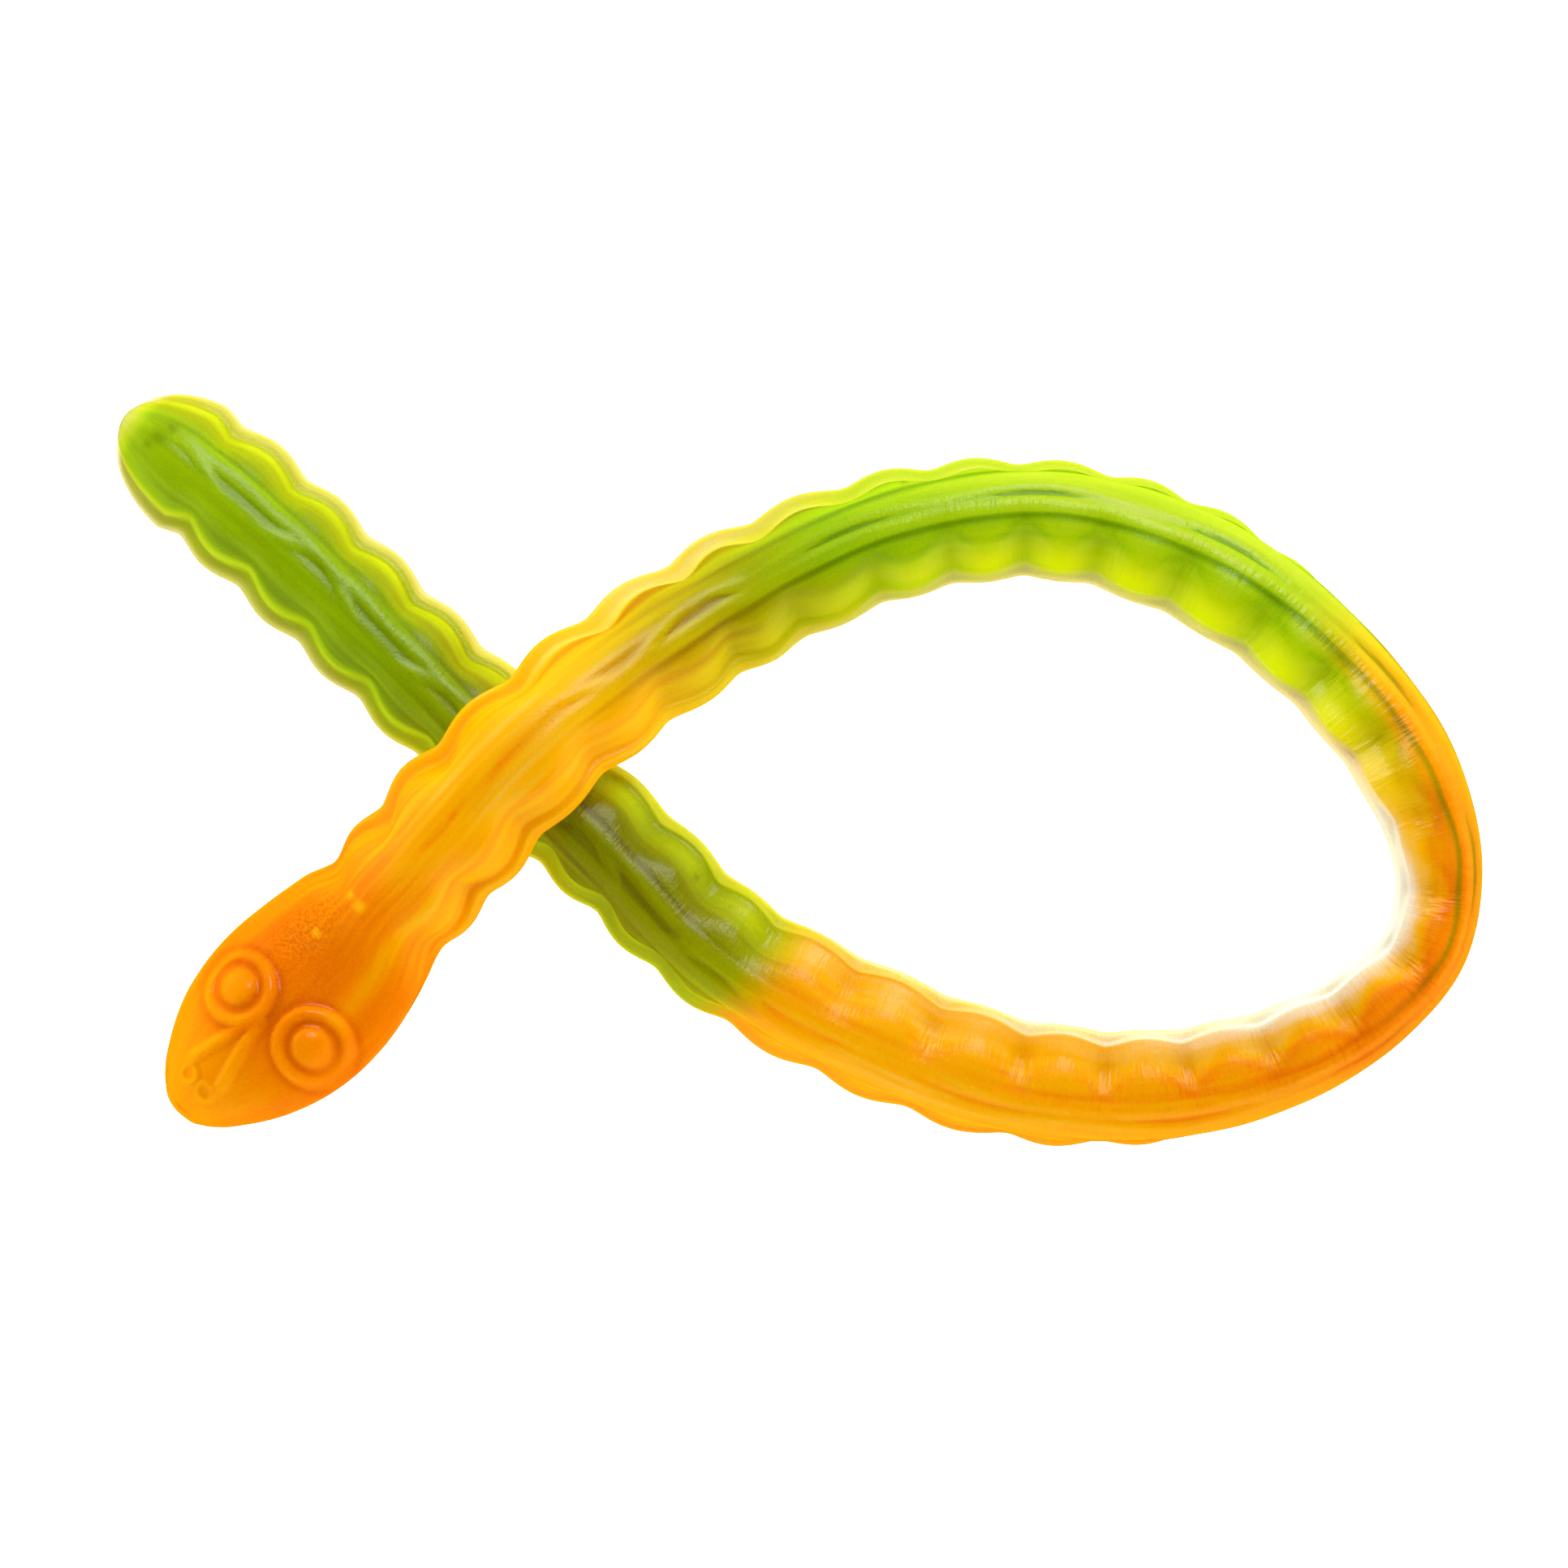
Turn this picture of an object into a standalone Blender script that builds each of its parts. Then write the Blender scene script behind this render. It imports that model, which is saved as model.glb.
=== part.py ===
"""Gummy snake candy: one moulded jelly body, bent into a loop, with its head lying across its tail."""

import math

import bpy
import numpy as np

# All sizes are in millimetres and are turned into metres where the mesh is made.
METRES = 0.001

# Route of the body seen from above, from the nose round the loop to the tip of the tail.
# Each station holds x, y, the roll of the moulded face away from the inside of the loop in degrees,
# and how wide the section is there, as a share of its plain width.
ROUTE = (
    (-70.1, -38.2, 8, 1.00),  # nose
    (-62.2, -30.8, 10, 1.04),  # eyes
    (-53.7, -23.0, 10, 1.04),  # back of the head
    (-45.9, -14.6, 10, 1.08),  # throat
    (-38.6, -6.4, 10, 1.13),
    (-30.6, 1.9, 12, 1.08),  # on top of the crossing
    (-19.1, 11.6, 12, 1.07),
    (-4.6, 20.7, 17, 1.06),
    (11.6, 26.9, 25, 1.03),
    (28.8, 28.2, 31, 1.01),  # top of the loop
    (45.2, 22.8, 36, 1.08),
    (58.8, 12.2, 43, 1.06),
    (68.4, -1.9, 52, 1.03),
    (70.7, -10.4, 56, 0.83),  # tight end of the loop
    (69.3, -19.2, 57, 0.78),
    (63.5, -25.7, 55, 0.91),
    (56.3, -30.3, 50, 1.01),
    (39.8, -35.1, 41, 1.08),  # bottom of the loop
    (22.6, -33.9, 37, 1.12),
    (6.4, -28.1, 33, 1.11),
    (-8.7, -19.7, 27, 1.03),
    (-21.2, -8.1, 18, 1.00),
    (-31.8, 1.0, 10, 1.00),  # under the crossing
    (-44.0, 12.5, 4, 0.99),
    (-56.1, 24.1, 0, 1.02),
    (-66.5, 33.2, 0, 1.01),
    (-75.9, 40.1, 0, 0.96),  # tip of the tail
)

# Right half of the moulded section, from the flat back round to the ridge line:
# distance from the middle, height, and how far a dip between two lobes draws the point in.
SECTION = (
    (6.90, 0.00, 0.65),  # edge of the back
    (7.85, 0.80, 0.95),  # rim
    (7.45, 1.75, 1.00),  # top of the skirt
    (6.30, 2.10, 1.10),  # crease above the skirt
    (6.10, 3.30, 1.25),  # foot of the lobe
    (5.45, 4.75, 1.20),
    (4.50, 5.80, 0.80),  # shoulder of the lobe
    (3.15, 6.60, 0.25),
    (1.60, 7.10, 0.00),
)
# Half of the section on the head, which has no skirt: distance from the middle and height of the same points.
HEAD_SECTION = (
    (6.90, 0.00),
    (7.70, 0.80),
    (7.85, 1.75),
    (7.65, 2.80),
    (7.10, 3.90),
    (6.20, 4.95),
    (4.95, 5.85),
    (3.40, 6.60),
    (1.70, 7.15),
)
HEAD_SECTION_UNTIL = (29.0, 36.0)
RIDGE_LINE_HEIGHT = 7.45
HALF_WIDTH = 7.85
HEART_HEIGHT = 2.0
# Where the body leans over, the dips pull the rim of the inner side in less.
INNER_RIM_SQUEEZE = 0.7
RIM_BELOW = 1.0
# There the lobes of the outer side stand closer to the middle, so that the skirt shows beside them.
OUTER_PINCH = 0.5
LOBE_HEIGHTS = (2.0, 3.3, 6.6, 7.2)

# The dips between the lobes, counted from the throat: how many dips have gone by at each distance.
DIP_MARKS = (33.9, 51.3, 70.4, 101.2, 137.2, 214.7, 243.2, 275.1, 293.2, 320.8, 357.4)
DIP_COUNTS = (0, 2, 4, 7, 11, 19, 22, 25, 27, 30, 34)
# How far the dips of the inner side lag behind those of the outer side, as half the difference.
LAG_MARKS = (33.0, 70.0, 128.0, 152.0, 180.0, 215.0, 280.0, 320.0, 357.0)
LAGS = (1.0, 0.0, 0.2, 2.2, 1.2, 0.0, 0.5, 1.5, 1.0)
DIP_SOFTNESS = 0.32
DIP_FADE_HEAD = 2.0
DIP_FADE_TAIL = 2.5

# Strands moulded along the back: place across the half width, half width and height of each.
BROAD_STRAND = (-0.24, 0.26, 0.38)
NARROW_STRAND = (0.27, 0.15, 0.34)
CROSSING_STRAND = (0.04, 0.14, 0.36)
CROSSING_REACH = 0.22
CROSSING_PERIOD = 21.0
# The strands begin behind the head and end before the tip of the tail.
STRANDS_START = 36.0
STRANDS_FULL = 44.0
STRANDS_END = 3.0
STRAND_TAIL_FADE = 9.0
# They and the eyes lie on the part of the section above this height, and grow over the next millimetres.
TOP_FROM = 3.6
TOP_GROWTH = 1.5

# Head: half width and height of its section at each distance back from the nose.
HEAD_LENGTH = 33.6
HEAD_MARKS = (0.0, 0.35, 1.3, 2.6, 5.0, 8.8, 12.5, 18.0, 24.5, 29.3, 33.6)
HEAD_HALF_WIDTHS = (0.0, 1.5, 3.2, 4.6, 6.3, 8.3, 9.5, 10.35, 9.9, 8.9, 7.85)
HEAD_HEIGHTS = (0.0, 2.2, 3.3, 4.3, 5.5, 6.5, 6.9, 7.1, 6.9, 6.8, 7.45)
EYES = ((15.4, -4.2), (17.1, 5.9))
EYE_MOUND = (5.2, 0.60)
EYE_RING = (3.7, 0.80, 0.60)
PUPIL = (2.1, 0.95)
NOSTRIL_BACK = 4.7
NOSTRIL_APART = 1.35
NOSTRIL_RING = (0.80, 0.40, 0.32)
BRIDGE_FROM = 6.8
BRIDGE_TO = 15.5
BRIDGE_SPREAD = 2.2
BRIDGE_HALF_WIDTH = 0.9
BRIDGE_HEIGHT = 0.60
BRIDGE_FADE = 2.0

# The rounded tip of the tail.
TAIL_CAP = 11.0
TAIL_BLUNTNESS = 2.0
TAIL_THINNING = 0.6

# The neck rises over the tail and comes down again.
CROSSING_AT = 55.5
LIFT = 8.75
LIFT_REACH = 33.0

# How far the soft body settles, which leaves a narrow flat where it rests.
SETTLE = 0.25

# Spacing of the loft.
NOSE_RINGS = (0.12, 0.5, 1.3, 2.6, 3.8, 4.7, 5.7, 7.0, 8.6)
THROAT_RINGS = (23.0, 25.0, 27.2, 29.4, 31.6, HEAD_LENGTH)
CAP_SHARES = (0.95, 0.62, 0.36, 0.17, 0.05, 0.006)
STEPS_PER_LOBE = 5
HEAD_RINGS_EYES = 13
EYE_ZONE = 5.2
ROUTE_FINENESS = 3000
HALF_STRIDE = 0.5


def smooth_curve(marks, values, at):
    """A smooth curve through the values at the marks, read at other places."""
    marks = np.asarray(marks, float)
    values = np.asarray(values, float)
    slopes = np.gradient(values, marks, axis=0)
    index = np.clip(np.searchsorted(marks, at, side="right") - 1, 0, len(marks) - 2)
    span = marks[index + 1] - marks[index]
    t = (at - marks[index]) / span
    if values.ndim > 1:
        t = t[:, None]
        span = span[:, None]
    rise = values[index + 1] - values[index]
    start = slopes[index] * span
    end = slopes[index + 1] * span
    return (
        values[index] + start * t + (3 * rise - 2 * start - end) * t**2 + (start + end - 2 * rise) * t**3
    )


def measured_route():
    """Fine points of the route with their distance from the nose."""
    stations = np.array(ROUTE, float)
    chords = np.linalg.norm(np.diff(stations[:, :2], axis=0), axis=1)
    marks = np.concatenate([[0.0], np.cumsum(chords)])
    fine = np.linspace(0.0, marks[-1], ROUTE_FINENESS)
    values = smooth_curve(marks, stations, fine)
    lengths = np.linalg.norm(np.diff(values[:, :2], axis=0), axis=1)
    return np.concatenate([[0.0], np.cumsum(lengths)]), values


def lift_at(distance):
    """Height of the underside: it is raised only where the neck goes over the tail."""
    share = np.clip(np.abs(distance - CROSSING_AT) / LIFT_REACH, 0.0, 1.0)
    return LIFT * np.cos(share * math.pi / 2) ** 2


def dip_at(distance):
    """0 on the crest of a lobe and 1 in the dip between two lobes."""
    count = np.interp(distance, DIP_MARKS, DIP_COUNTS)
    wave = np.sqrt(np.sin(math.pi * count) ** 2 + DIP_SOFTNESS**2)
    crest = math.sqrt(1 + DIP_SOFTNESS**2)
    dip = (crest - wave) / (crest - DIP_SOFTNESS)
    head_fade = np.clip((distance - HEAD_LENGTH + DIP_FADE_HEAD) / DIP_FADE_HEAD, 0.0, 1.0)
    tail_fade = np.clip((DIP_MARKS[-1] + DIP_FADE_TAIL - distance) / DIP_FADE_TAIL, 0.0, 1.0)
    return dip * head_fade * tail_fade


def strand_height(across, distance):
    """Height of the moulded strands at a place across the half width."""
    weave = CROSSING_REACH * np.sin(2 * math.pi * distance / CROSSING_PERIOD)
    height = np.zeros_like(across)
    for (place, half, tall), sway in ((BROAD_STRAND, 0), (NARROW_STRAND, 0), (CROSSING_STRAND, 1)):
        away = (across - place - sway * weave) / half
        height = np.maximum(height, tall * (1 - away**2))
    return height


def section_points(halving, on_head=0.0):
    """Across, height and dip share of one ring of the plain section, counter-clockwise."""
    right = np.array(SECTION, float)
    right[:, :2] += on_head * (np.array(HEAD_SECTION, float) - right[:, :2])
    right = right.tolist()
    ring = [[0.0, 0.0, 0.0]] + right + [[0.0, RIDGE_LINE_HEIGHT, 0.0]]
    ring += [[-across, height, dip] for across, height, dip in reversed(right)]
    ring = np.array(ring, float)
    if not halving:
        return ring
    after = np.roll(ring, -1, axis=0)
    before = np.roll(ring, 1, axis=0)
    beyond = np.roll(ring, -2, axis=0)
    middle = (9 * (ring + after) - before - beyond) / 16
    flat = (ring[:, 1] == 0) & (after[:, 1] == 0)
    middle[flat] = (ring[flat] + after[flat]) / 2
    middle[:, 1] = np.maximum(middle[:, 1], 0.0)
    doubled = np.empty((2 * len(ring), 3))
    doubled[0::2] = ring
    doubled[1::2] = middle
    return doubled


def eye_relief(back, side):
    """Extra height of the eyes, the nostrils and the bridge of the nose on the head."""
    height = np.zeros_like(side)
    for sign, (eye_back, eye_side) in zip((-1, 1), EYES):
        away = np.hypot(back - eye_back, side - eye_side)
        reach, tall = EYE_MOUND
        height += tall * np.clip(1 - (away / reach) ** 2, 0.0, None)
        radius, half, tall = EYE_RING
        height += tall * np.clip(1 - ((away - radius) / half) ** 2, 0.0, None)
        reach, tall = PUPIL
        height += tall * np.sqrt(np.clip(1 - (away / reach) ** 2, 0.0, None))
        away = np.hypot(back - NOSTRIL_BACK, side - sign * NOSTRIL_APART)
        radius, half, tall = NOSTRIL_RING
        height += tall * np.clip(1 - ((away - radius) / half) ** 2, 0.0, None)
        share = np.clip((BRIDGE_TO - back) / (BRIDGE_TO - BRIDGE_FROM), 0.0, 1.0)
        inside = (back < BRIDGE_TO) * np.clip((back - BRIDGE_FROM) / BRIDGE_FADE + 1.0, 0.0, 1.0)
        away = (side - sign * BRIDGE_SPREAD * share) / BRIDGE_HALF_WIDTH
        height = np.maximum(height, BRIDGE_HEIGHT * inside * np.clip(1 - away**2, 0.0, None))
    return height


def ring_at(distance, total, roll, halving):
    """One ring of the body, in its own plane: across toward the inside of the loop, and up."""
    on_head = float(np.interp(distance, HEAD_SECTION_UNTIL, (1.0, 0.0)))
    plain = section_points(halving, on_head)
    outer = (plain[:, 0] < 0) * np.interp(plain[:, 1], LOBE_HEIGHTS, (0.0, 1.0, 1.0, 0.0))
    across = plain[:, 0] * (1 - OUTER_PINCH * math.sin(roll) * outer)
    height = plain[:, 1].copy()
    if distance < HEAD_LENGTH:
        wide = np.interp(distance, HEAD_MARKS, HEAD_HALF_WIDTHS) / HALF_WIDTH
        tall = np.interp(distance, HEAD_MARKS, HEAD_HEIGHTS) / RIDGE_LINE_HEIGHT
    else:
        left = min(total - distance, TAIL_CAP)
        wide = max(1 - (1 - left / TAIL_CAP) ** TAIL_BLUNTNESS, 0.0) ** (1 / TAIL_BLUNTNESS)
        tall = wide**TAIL_THINNING
    lag = np.interp(distance, LAG_MARKS, LAGS) * np.clip(across / HALF_WIDTH * 2, -1.0, 1.0)
    drawn = plain[:, 2] * dip_at(distance - lag) * min(wide, 1.0)
    shares = across / HALF_WIDTH
    drop = np.maximum(height - HEART_HEIGHT, 0.0)
    reach = np.hypot(across, drop) + 1e-9
    pinched = np.where(across > 0, 1 - INNER_RIM_SQUEEZE * math.sin(roll) * (height < RIM_BELOW), 1.0)
    across -= drawn * pinched * across / reach
    height -= drawn * drop / reach
    on_top = np.clip((height - TOP_FROM) / TOP_GROWTH, 0.0, 1.0)
    fade = np.clip((distance - STRANDS_START) / (STRANDS_FULL - STRANDS_START), 0.0, 1.0)
    fade *= np.clip((total - distance - STRANDS_END) / STRAND_TAIL_FADE, 0.0, 1.0)
    height += strand_height(shares, distance) * on_top * fade
    across *= wide
    height *= tall
    if distance < HEAD_LENGTH:
        height += eye_relief(distance, across) * on_top
    return across, height, plain[:, 0] * wide, plain[:, 1] * tall


def placed_ring(distance, total, lengths, values, halving):
    """The ring in space, rolled over, resting on the table and lifted over the crossing."""
    ahead = min(distance + HALF_STRIDE, total)
    behind = max(distance - HALF_STRIDE, 0.0)
    here = np.array([np.interp(distance, lengths, values[:, k]) for k in range(4)])
    step = [np.interp(ahead, lengths, values[:, k]) - np.interp(behind, lengths, values[:, k]) for k in (0, 1)]
    forward = np.array(step + [float(lift_at(ahead) - lift_at(behind))])
    forward /= np.linalg.norm(forward)
    inward = np.array([forward[1], -forward[0], 0.0])
    inward /= np.linalg.norm(inward)
    upward = np.cross(inward, forward)

    width = here[3]
    roll = math.radians(here[2])
    across, height, plain_across, plain_height = ring_at(distance, total, roll, halving)
    turned_plain = plain_across * width * math.cos(roll) - plain_height * math.sin(roll)
    plain_low = plain_across * width * math.sin(roll) + plain_height * math.cos(roll)
    turned = across * width * math.cos(roll) - height * math.sin(roll)
    raised = across * width * math.sin(roll) + height * math.cos(roll)
    turned = turned - (turned_plain.max() + turned_plain.min()) / 2
    raised = raised - plain_low.min() - SETTLE
    raised = np.maximum(raised, 0.0)
    centre = np.array([here[0], here[1], float(lift_at(distance))])
    return centre + turned[:, None] * inward + raised[:, None] * upward


def ring_distances(total):
    """Where the rings of the loft stand, first those of the head and then those of the body."""
    eyes = np.linspace(EYES[0][0] - EYE_ZONE, EYES[1][0] + EYE_ZONE, HEAD_RINGS_EYES)
    head = np.concatenate([NOSE_RINGS, eyes, THROAT_RINGS])
    counts = np.arange(0, DIP_COUNTS[-1] * STEPS_PER_LOBE + 1) / STEPS_PER_LOBE
    body = np.interp(counts, DIP_COUNTS, DIP_MARKS)
    tail = [total - share * TAIL_CAP for share in CAP_SHARES]
    return head, np.concatenate([body, tail])


def bridge(faces, first, second, count):
    """Four-sided faces between two rings of the same count."""
    for j in range(count):
        k = (j + 1) % count
        faces.append((second + j, second + k, first + k, first + j))


def snake_mesh():
    """The whole body as one closed loft."""
    lengths, values = measured_route()
    total = float(lengths[-1])
    head, body = ring_distances(total)
    points = []
    faces = []
    starts = []
    for distance in head:
        starts.append(len(points))
        points += list(placed_ring(float(distance), total, lengths, values, True))
    fine = len(section_points(True))
    for first, second in zip(starts[:-1], starts[1:]):
        bridge(faces, first, second, fine)
    last_head = starts[-1]

    coarse = len(section_points(False))
    body_starts = []
    for distance in body[1:]:
        body_starts.append(len(points))
        points += list(placed_ring(float(distance), total, lengths, values, False))
    first_body = body_starts[0]
    for j in range(coarse):
        k = (j + 1) % coarse
        left = last_head + 2 * j
        middle = left + 1
        right = last_head + (2 * j + 2) % fine
        faces.append((first_body + j, middle, left))
        faces.append((first_body + j, first_body + k, middle))
        faces.append((first_body + k, right, middle))
    for first, second in zip(body_starts[:-1], body_starts[1:]):
        bridge(faces, first, second, coarse)

    nose = np.mean(points[:fine], axis=0)
    points.append(nose)
    for j in range(fine):
        faces.append((j, (j + 1) % fine, len(points) - 1))
    tip = np.mean(points[body_starts[-1] : body_starts[-1] + coarse], axis=0)
    points.append(tip)
    for j in range(coarse):
        faces.append((body_starts[-1] + (j + 1) % coarse, body_starts[-1] + j, len(points) - 1))
    return np.array(points) * METRES, faces


def clear_scene():
    for thing in list(bpy.data.objects):
        bpy.data.objects.remove(thing, do_unlink=True)


def gel_material():
    material = bpy.data.materials.new("jelly")
    material.use_nodes = True
    shader = material.node_tree.nodes["Principled BSDF"]
    shader.inputs["Base Color"].default_value = (0.90, 0.36, 0.01, 1.0)
    shader.inputs["Roughness"].default_value = 0.3
    return material


def main():
    clear_scene()
    collection = bpy.data.collections.new("gummy snake")
    bpy.context.scene.collection.children.link(collection)
    points, faces = snake_mesh()
    low = points.min(axis=0)
    high = points.max(axis=0)
    points -= np.array([(low[0] + high[0]) / 2, (low[1] + high[1]) / 2, low[2]])
    mesh = bpy.data.meshes.new("snake")
    mesh.from_pydata(points.tolist(), [], faces)
    mesh.materials.append(gel_material())
    mesh.validate()
    mesh.shade_smooth()
    snake = bpy.data.objects.new("snake", mesh)
    collection.objects.link(snake)


main()
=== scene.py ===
"""Looks of the gummy snake candy: a fine jelly body over the CAD loft, on a lit white table."""

import math

import bpy
import numpy as np
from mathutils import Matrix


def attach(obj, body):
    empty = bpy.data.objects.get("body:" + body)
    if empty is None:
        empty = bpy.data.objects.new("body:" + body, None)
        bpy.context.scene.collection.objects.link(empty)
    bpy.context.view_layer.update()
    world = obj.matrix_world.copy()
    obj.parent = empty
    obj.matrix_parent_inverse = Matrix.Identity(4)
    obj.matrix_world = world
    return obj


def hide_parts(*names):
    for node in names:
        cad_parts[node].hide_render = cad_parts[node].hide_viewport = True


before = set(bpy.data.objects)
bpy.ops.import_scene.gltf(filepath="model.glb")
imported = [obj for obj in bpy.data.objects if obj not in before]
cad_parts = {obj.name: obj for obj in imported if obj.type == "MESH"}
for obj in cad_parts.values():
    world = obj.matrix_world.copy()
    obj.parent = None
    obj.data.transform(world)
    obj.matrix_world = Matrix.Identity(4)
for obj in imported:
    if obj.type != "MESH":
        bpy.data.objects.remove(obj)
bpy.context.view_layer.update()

# Sizes of the body are in millimetres, as in the CAD, and are turned into metres where the mesh is made.
METRES = 0.001

# From the zero of the route to the middle of the object's own box.
ROUTE_SHIFT = (0.578, -0.371)

# Route of the body seen from above, from the nose round the loop to the tip of the tail:
# x, y, roll of the moulded face away from the inside of the loop in degrees, width share.
ROUTE = (
    (-70.1, -38.2, 8, 1.00),  # nose
    (-62.2, -30.8, 10, 1.04),  # eyes
    (-53.7, -23.0, 10, 1.04),  # back of the head
    (-45.9, -14.6, 10, 1.08),  # throat
    (-38.6, -6.4, 10, 1.13),
    (-30.6, 1.9, 12, 1.08),  # on top of the crossing
    (-19.1, 11.6, 12, 1.07),
    (-4.6, 20.7, 17, 1.06),
    (11.6, 26.9, 25, 1.03),
    (28.8, 28.2, 31, 1.01),  # top of the loop
    (45.2, 22.8, 36, 1.08),
    (58.8, 12.2, 43, 1.06),
    (68.4, -1.9, 52, 1.03),
    (70.7, -10.4, 56, 0.83),  # tight end of the loop
    (69.3, -19.2, 57, 0.78),
    (63.5, -25.7, 55, 0.91),
    (56.3, -30.3, 50, 1.01),
    (39.8, -35.1, 41, 1.08),  # bottom of the loop
    (22.6, -33.9, 37, 1.12),
    (6.4, -28.1, 33, 1.11),
    (-8.7, -19.7, 27, 1.03),
    (-21.2, -8.1, 18, 1.00),
    (-31.8, 1.0, 10, 1.00),  # under the crossing
    (-44.0, 12.5, 4, 0.99),
    (-56.1, 24.1, 0, 1.02),
    (-66.5, 33.2, 0, 1.01),
    (-75.9, 40.1, 0, 0.96),  # tip of the tail
)

# Right half of the moulded section, from the flat back round to the ridge line:
# distance from the middle, height, and how far a dip between two lobes draws the point in.
SECTION = (
    (6.90, 0.00, 0.65),  # edge of the back
    (7.85, 0.80, 0.95),  # rim
    (7.45, 1.75, 1.00),  # top of the skirt
    (6.30, 2.10, 1.10),  # crease above the skirt
    (6.10, 3.30, 1.25),  # foot of the lobe
    (5.45, 4.75, 1.20),
    (4.50, 5.80, 0.80),  # shoulder of the lobe
    (3.15, 6.60, 0.25),
    (1.60, 7.10, 0.00),
)
# Half of the section on the head, which has no skirt: distance from the middle and height of the same points.
HEAD_SECTION = (
    (6.90, 0.00),
    (7.70, 0.80),
    (7.85, 1.75),
    (7.65, 2.80),
    (7.10, 3.90),
    (6.20, 4.95),
    (4.95, 5.85),
    (3.40, 6.60),
    (1.70, 7.15),
)
HEAD_SECTION_UNTIL = (27.0, 42.0)
RIDGE_LINE_HEIGHT = 7.45
HALF_WIDTH = 7.85
HEART_HEIGHT = 2.0
# Where the body leans over, the dips pull the rim of the inner side in less.
INNER_RIM_SQUEEZE = 0.7
RIM_BELOW = 1.0
# There the crease of the inner side is drawn outwards, and the outer lobes stand closer to the middle.
CREASE_PINCH = 1.9
CREASE_REACH = (4.0, 0.9)
OUTER_PINCH = 0.5
LOBE_HEIGHTS = (2.0, 3.3, 6.6, 7.2)
LOBE_PINCH = (0.0, 1.0, 1.0, 0.0)

# The dips between the lobes: how many have gone by at each distance back from the nose.
DIP_MARKS = (33.9, 51.3, 70.4, 101.2, 137.2, 214.7, 243.2, 275.1, 293.2, 320.8, 357.4)
DIP_COUNTS = (0, 2, 4, 7, 11, 19, 22, 25, 27, 30, 34)
# How far the dips of the inner side lag behind those of the outer side, as half the difference.
LAG_MARKS = (33.0, 70.0, 128.0, 152.0, 180.0, 215.0, 280.0, 320.0, 357.0)
LAGS = (1.0, 0.0, 0.2, 2.2, 1.2, 0.0, 0.5, 1.5, 1.0)
DIP_SOFTNESS = 0.32
DIP_FADE_HEAD = 3.0
DIP_FADE_TAIL = 2.5

# Strands moulded along the back: place across the half width, half width and height of each.
BROAD_STRAND = (-0.22, 0.30, 0.26)
NARROW_STRAND = (0.27, 0.14, 0.22)
CROSSING_STRAND = (0.04, 0.14, 0.20)
CROSSING_REACH = 0.22
STRAND_BLEND = 2.5
CROSSING_PERIOD = 21.0
# The groove beside a strand, in half widths of the strand, and where it gives way to the top of a strand.
GROOVE_BESIDE = (1.1, 0.4)
GROOVE_ENDS = (0.2, 0.6)
CROSSING_GROOVE_LOSS = 0.65
# Round the loop the strands run nearly straight.
CALM_MARKS = (66.0, 96.0, 252.0, 284.0)
CALM_SHARES = (1.0, 0.3, 0.3, 1.0)
STRANDS_START = 33.0
STRANDS_FULL = 47.0
STRANDS_END = 3.0
STRAND_TAIL_FADE = 9.0
# The strands and the eyes lie on the part of the section above this height, and grow over the rise after it.
TOP_FROM = 3.6
TOP_GROWTH = 1.5

# Head: half width and height of its section at each distance back from the nose.
HEAD_LENGTH = 33.6
HEAD_MARKS = (0.0, 0.35, 1.3, 2.6, 5.0, 8.8, 12.5, 18.0, 24.5, 29.3, 33.6, 38.0)
HEAD_HALF_WIDTHS = (0.0, 1.5, 3.2, 4.6, 6.3, 8.3, 9.5, 10.35, 9.9, 8.9, 7.85, 7.85)
HEAD_HEIGHTS = (0.0, 2.2, 3.3, 4.3, 5.5, 6.5, 6.9, 7.1, 6.9, 6.8, 7.45, 7.45)
# Eyes: how far back and how far to the side. Mounds: radius and height. Rings: radius, half width and height.
EYES = ((15.4, -4.2), (17.1, 5.9))
EYE_MOUND = (5.2, 0.60)
EYE_RING = (3.7, 0.80, 0.60)
PUPIL = (2.1, 0.95)
EYE_GROOVE = (4.8, 0.45, -0.30)
EYE_HOLLOW = (2.6, 0.35)
NOSTRIL_BACK = 4.7
NOSTRIL_APART = 1.35
NOSTRIL_RING = (0.95, 0.42, 0.30)
BRIDGE_FROM = 6.8
BRIDGE_TO = 15.5
BRIDGE_SPREAD = 2.2
BRIDGE_HALF_WIDTH = 0.9
BRIDGE_HEIGHT = 0.60
BRIDGE_FADE = 2.0

# The rounded tip of the tail.
TAIL_CAP = 11.0
TAIL_BLUNTNESS = 2.0
TAIL_THINNING = 0.6

# The neck rises over the tail and comes down again.
CROSSING_AT = 55.5
LIFT = 8.75
LIFT_REACH = 33.0
# How far the soft body settles, which leaves a narrow flat where it rests.
SETTLE = 0.25

# Fineness of the visible mesh.
BACK_STEPS = 4
WALL_STEPS = 5
WALL_SPANS = 5
DOME_STEPS = 6
NOSE_STATIONS = 30
HEAD_STATIONS = 120
BODY_STATIONS = 760
CAP_STATIONS = 26
END_ZONE = 4.0
ROUTE_FINENESS = 3000
HALF_STRIDE = 0.5


def smooth_curve(marks, values, at):
    """A smooth curve through the values at the marks, read at other places."""
    marks = np.asarray(marks, float)
    values = np.asarray(values, float)
    slopes = np.gradient(values, marks, axis=0)
    index = np.clip(np.searchsorted(marks, at, side="right") - 1, 0, len(marks) - 2)
    span = marks[index + 1] - marks[index]
    t = (at - marks[index]) / span
    if values.ndim > 1:
        t = t[:, None]
        span = span[:, None]
    rise = values[index + 1] - values[index]
    start = slopes[index] * span
    end = slopes[index + 1] * span
    return values[index] + start * t + (3 * rise - 2 * start - end) * t**2 + (start + end - 2 * rise) * t**3


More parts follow.
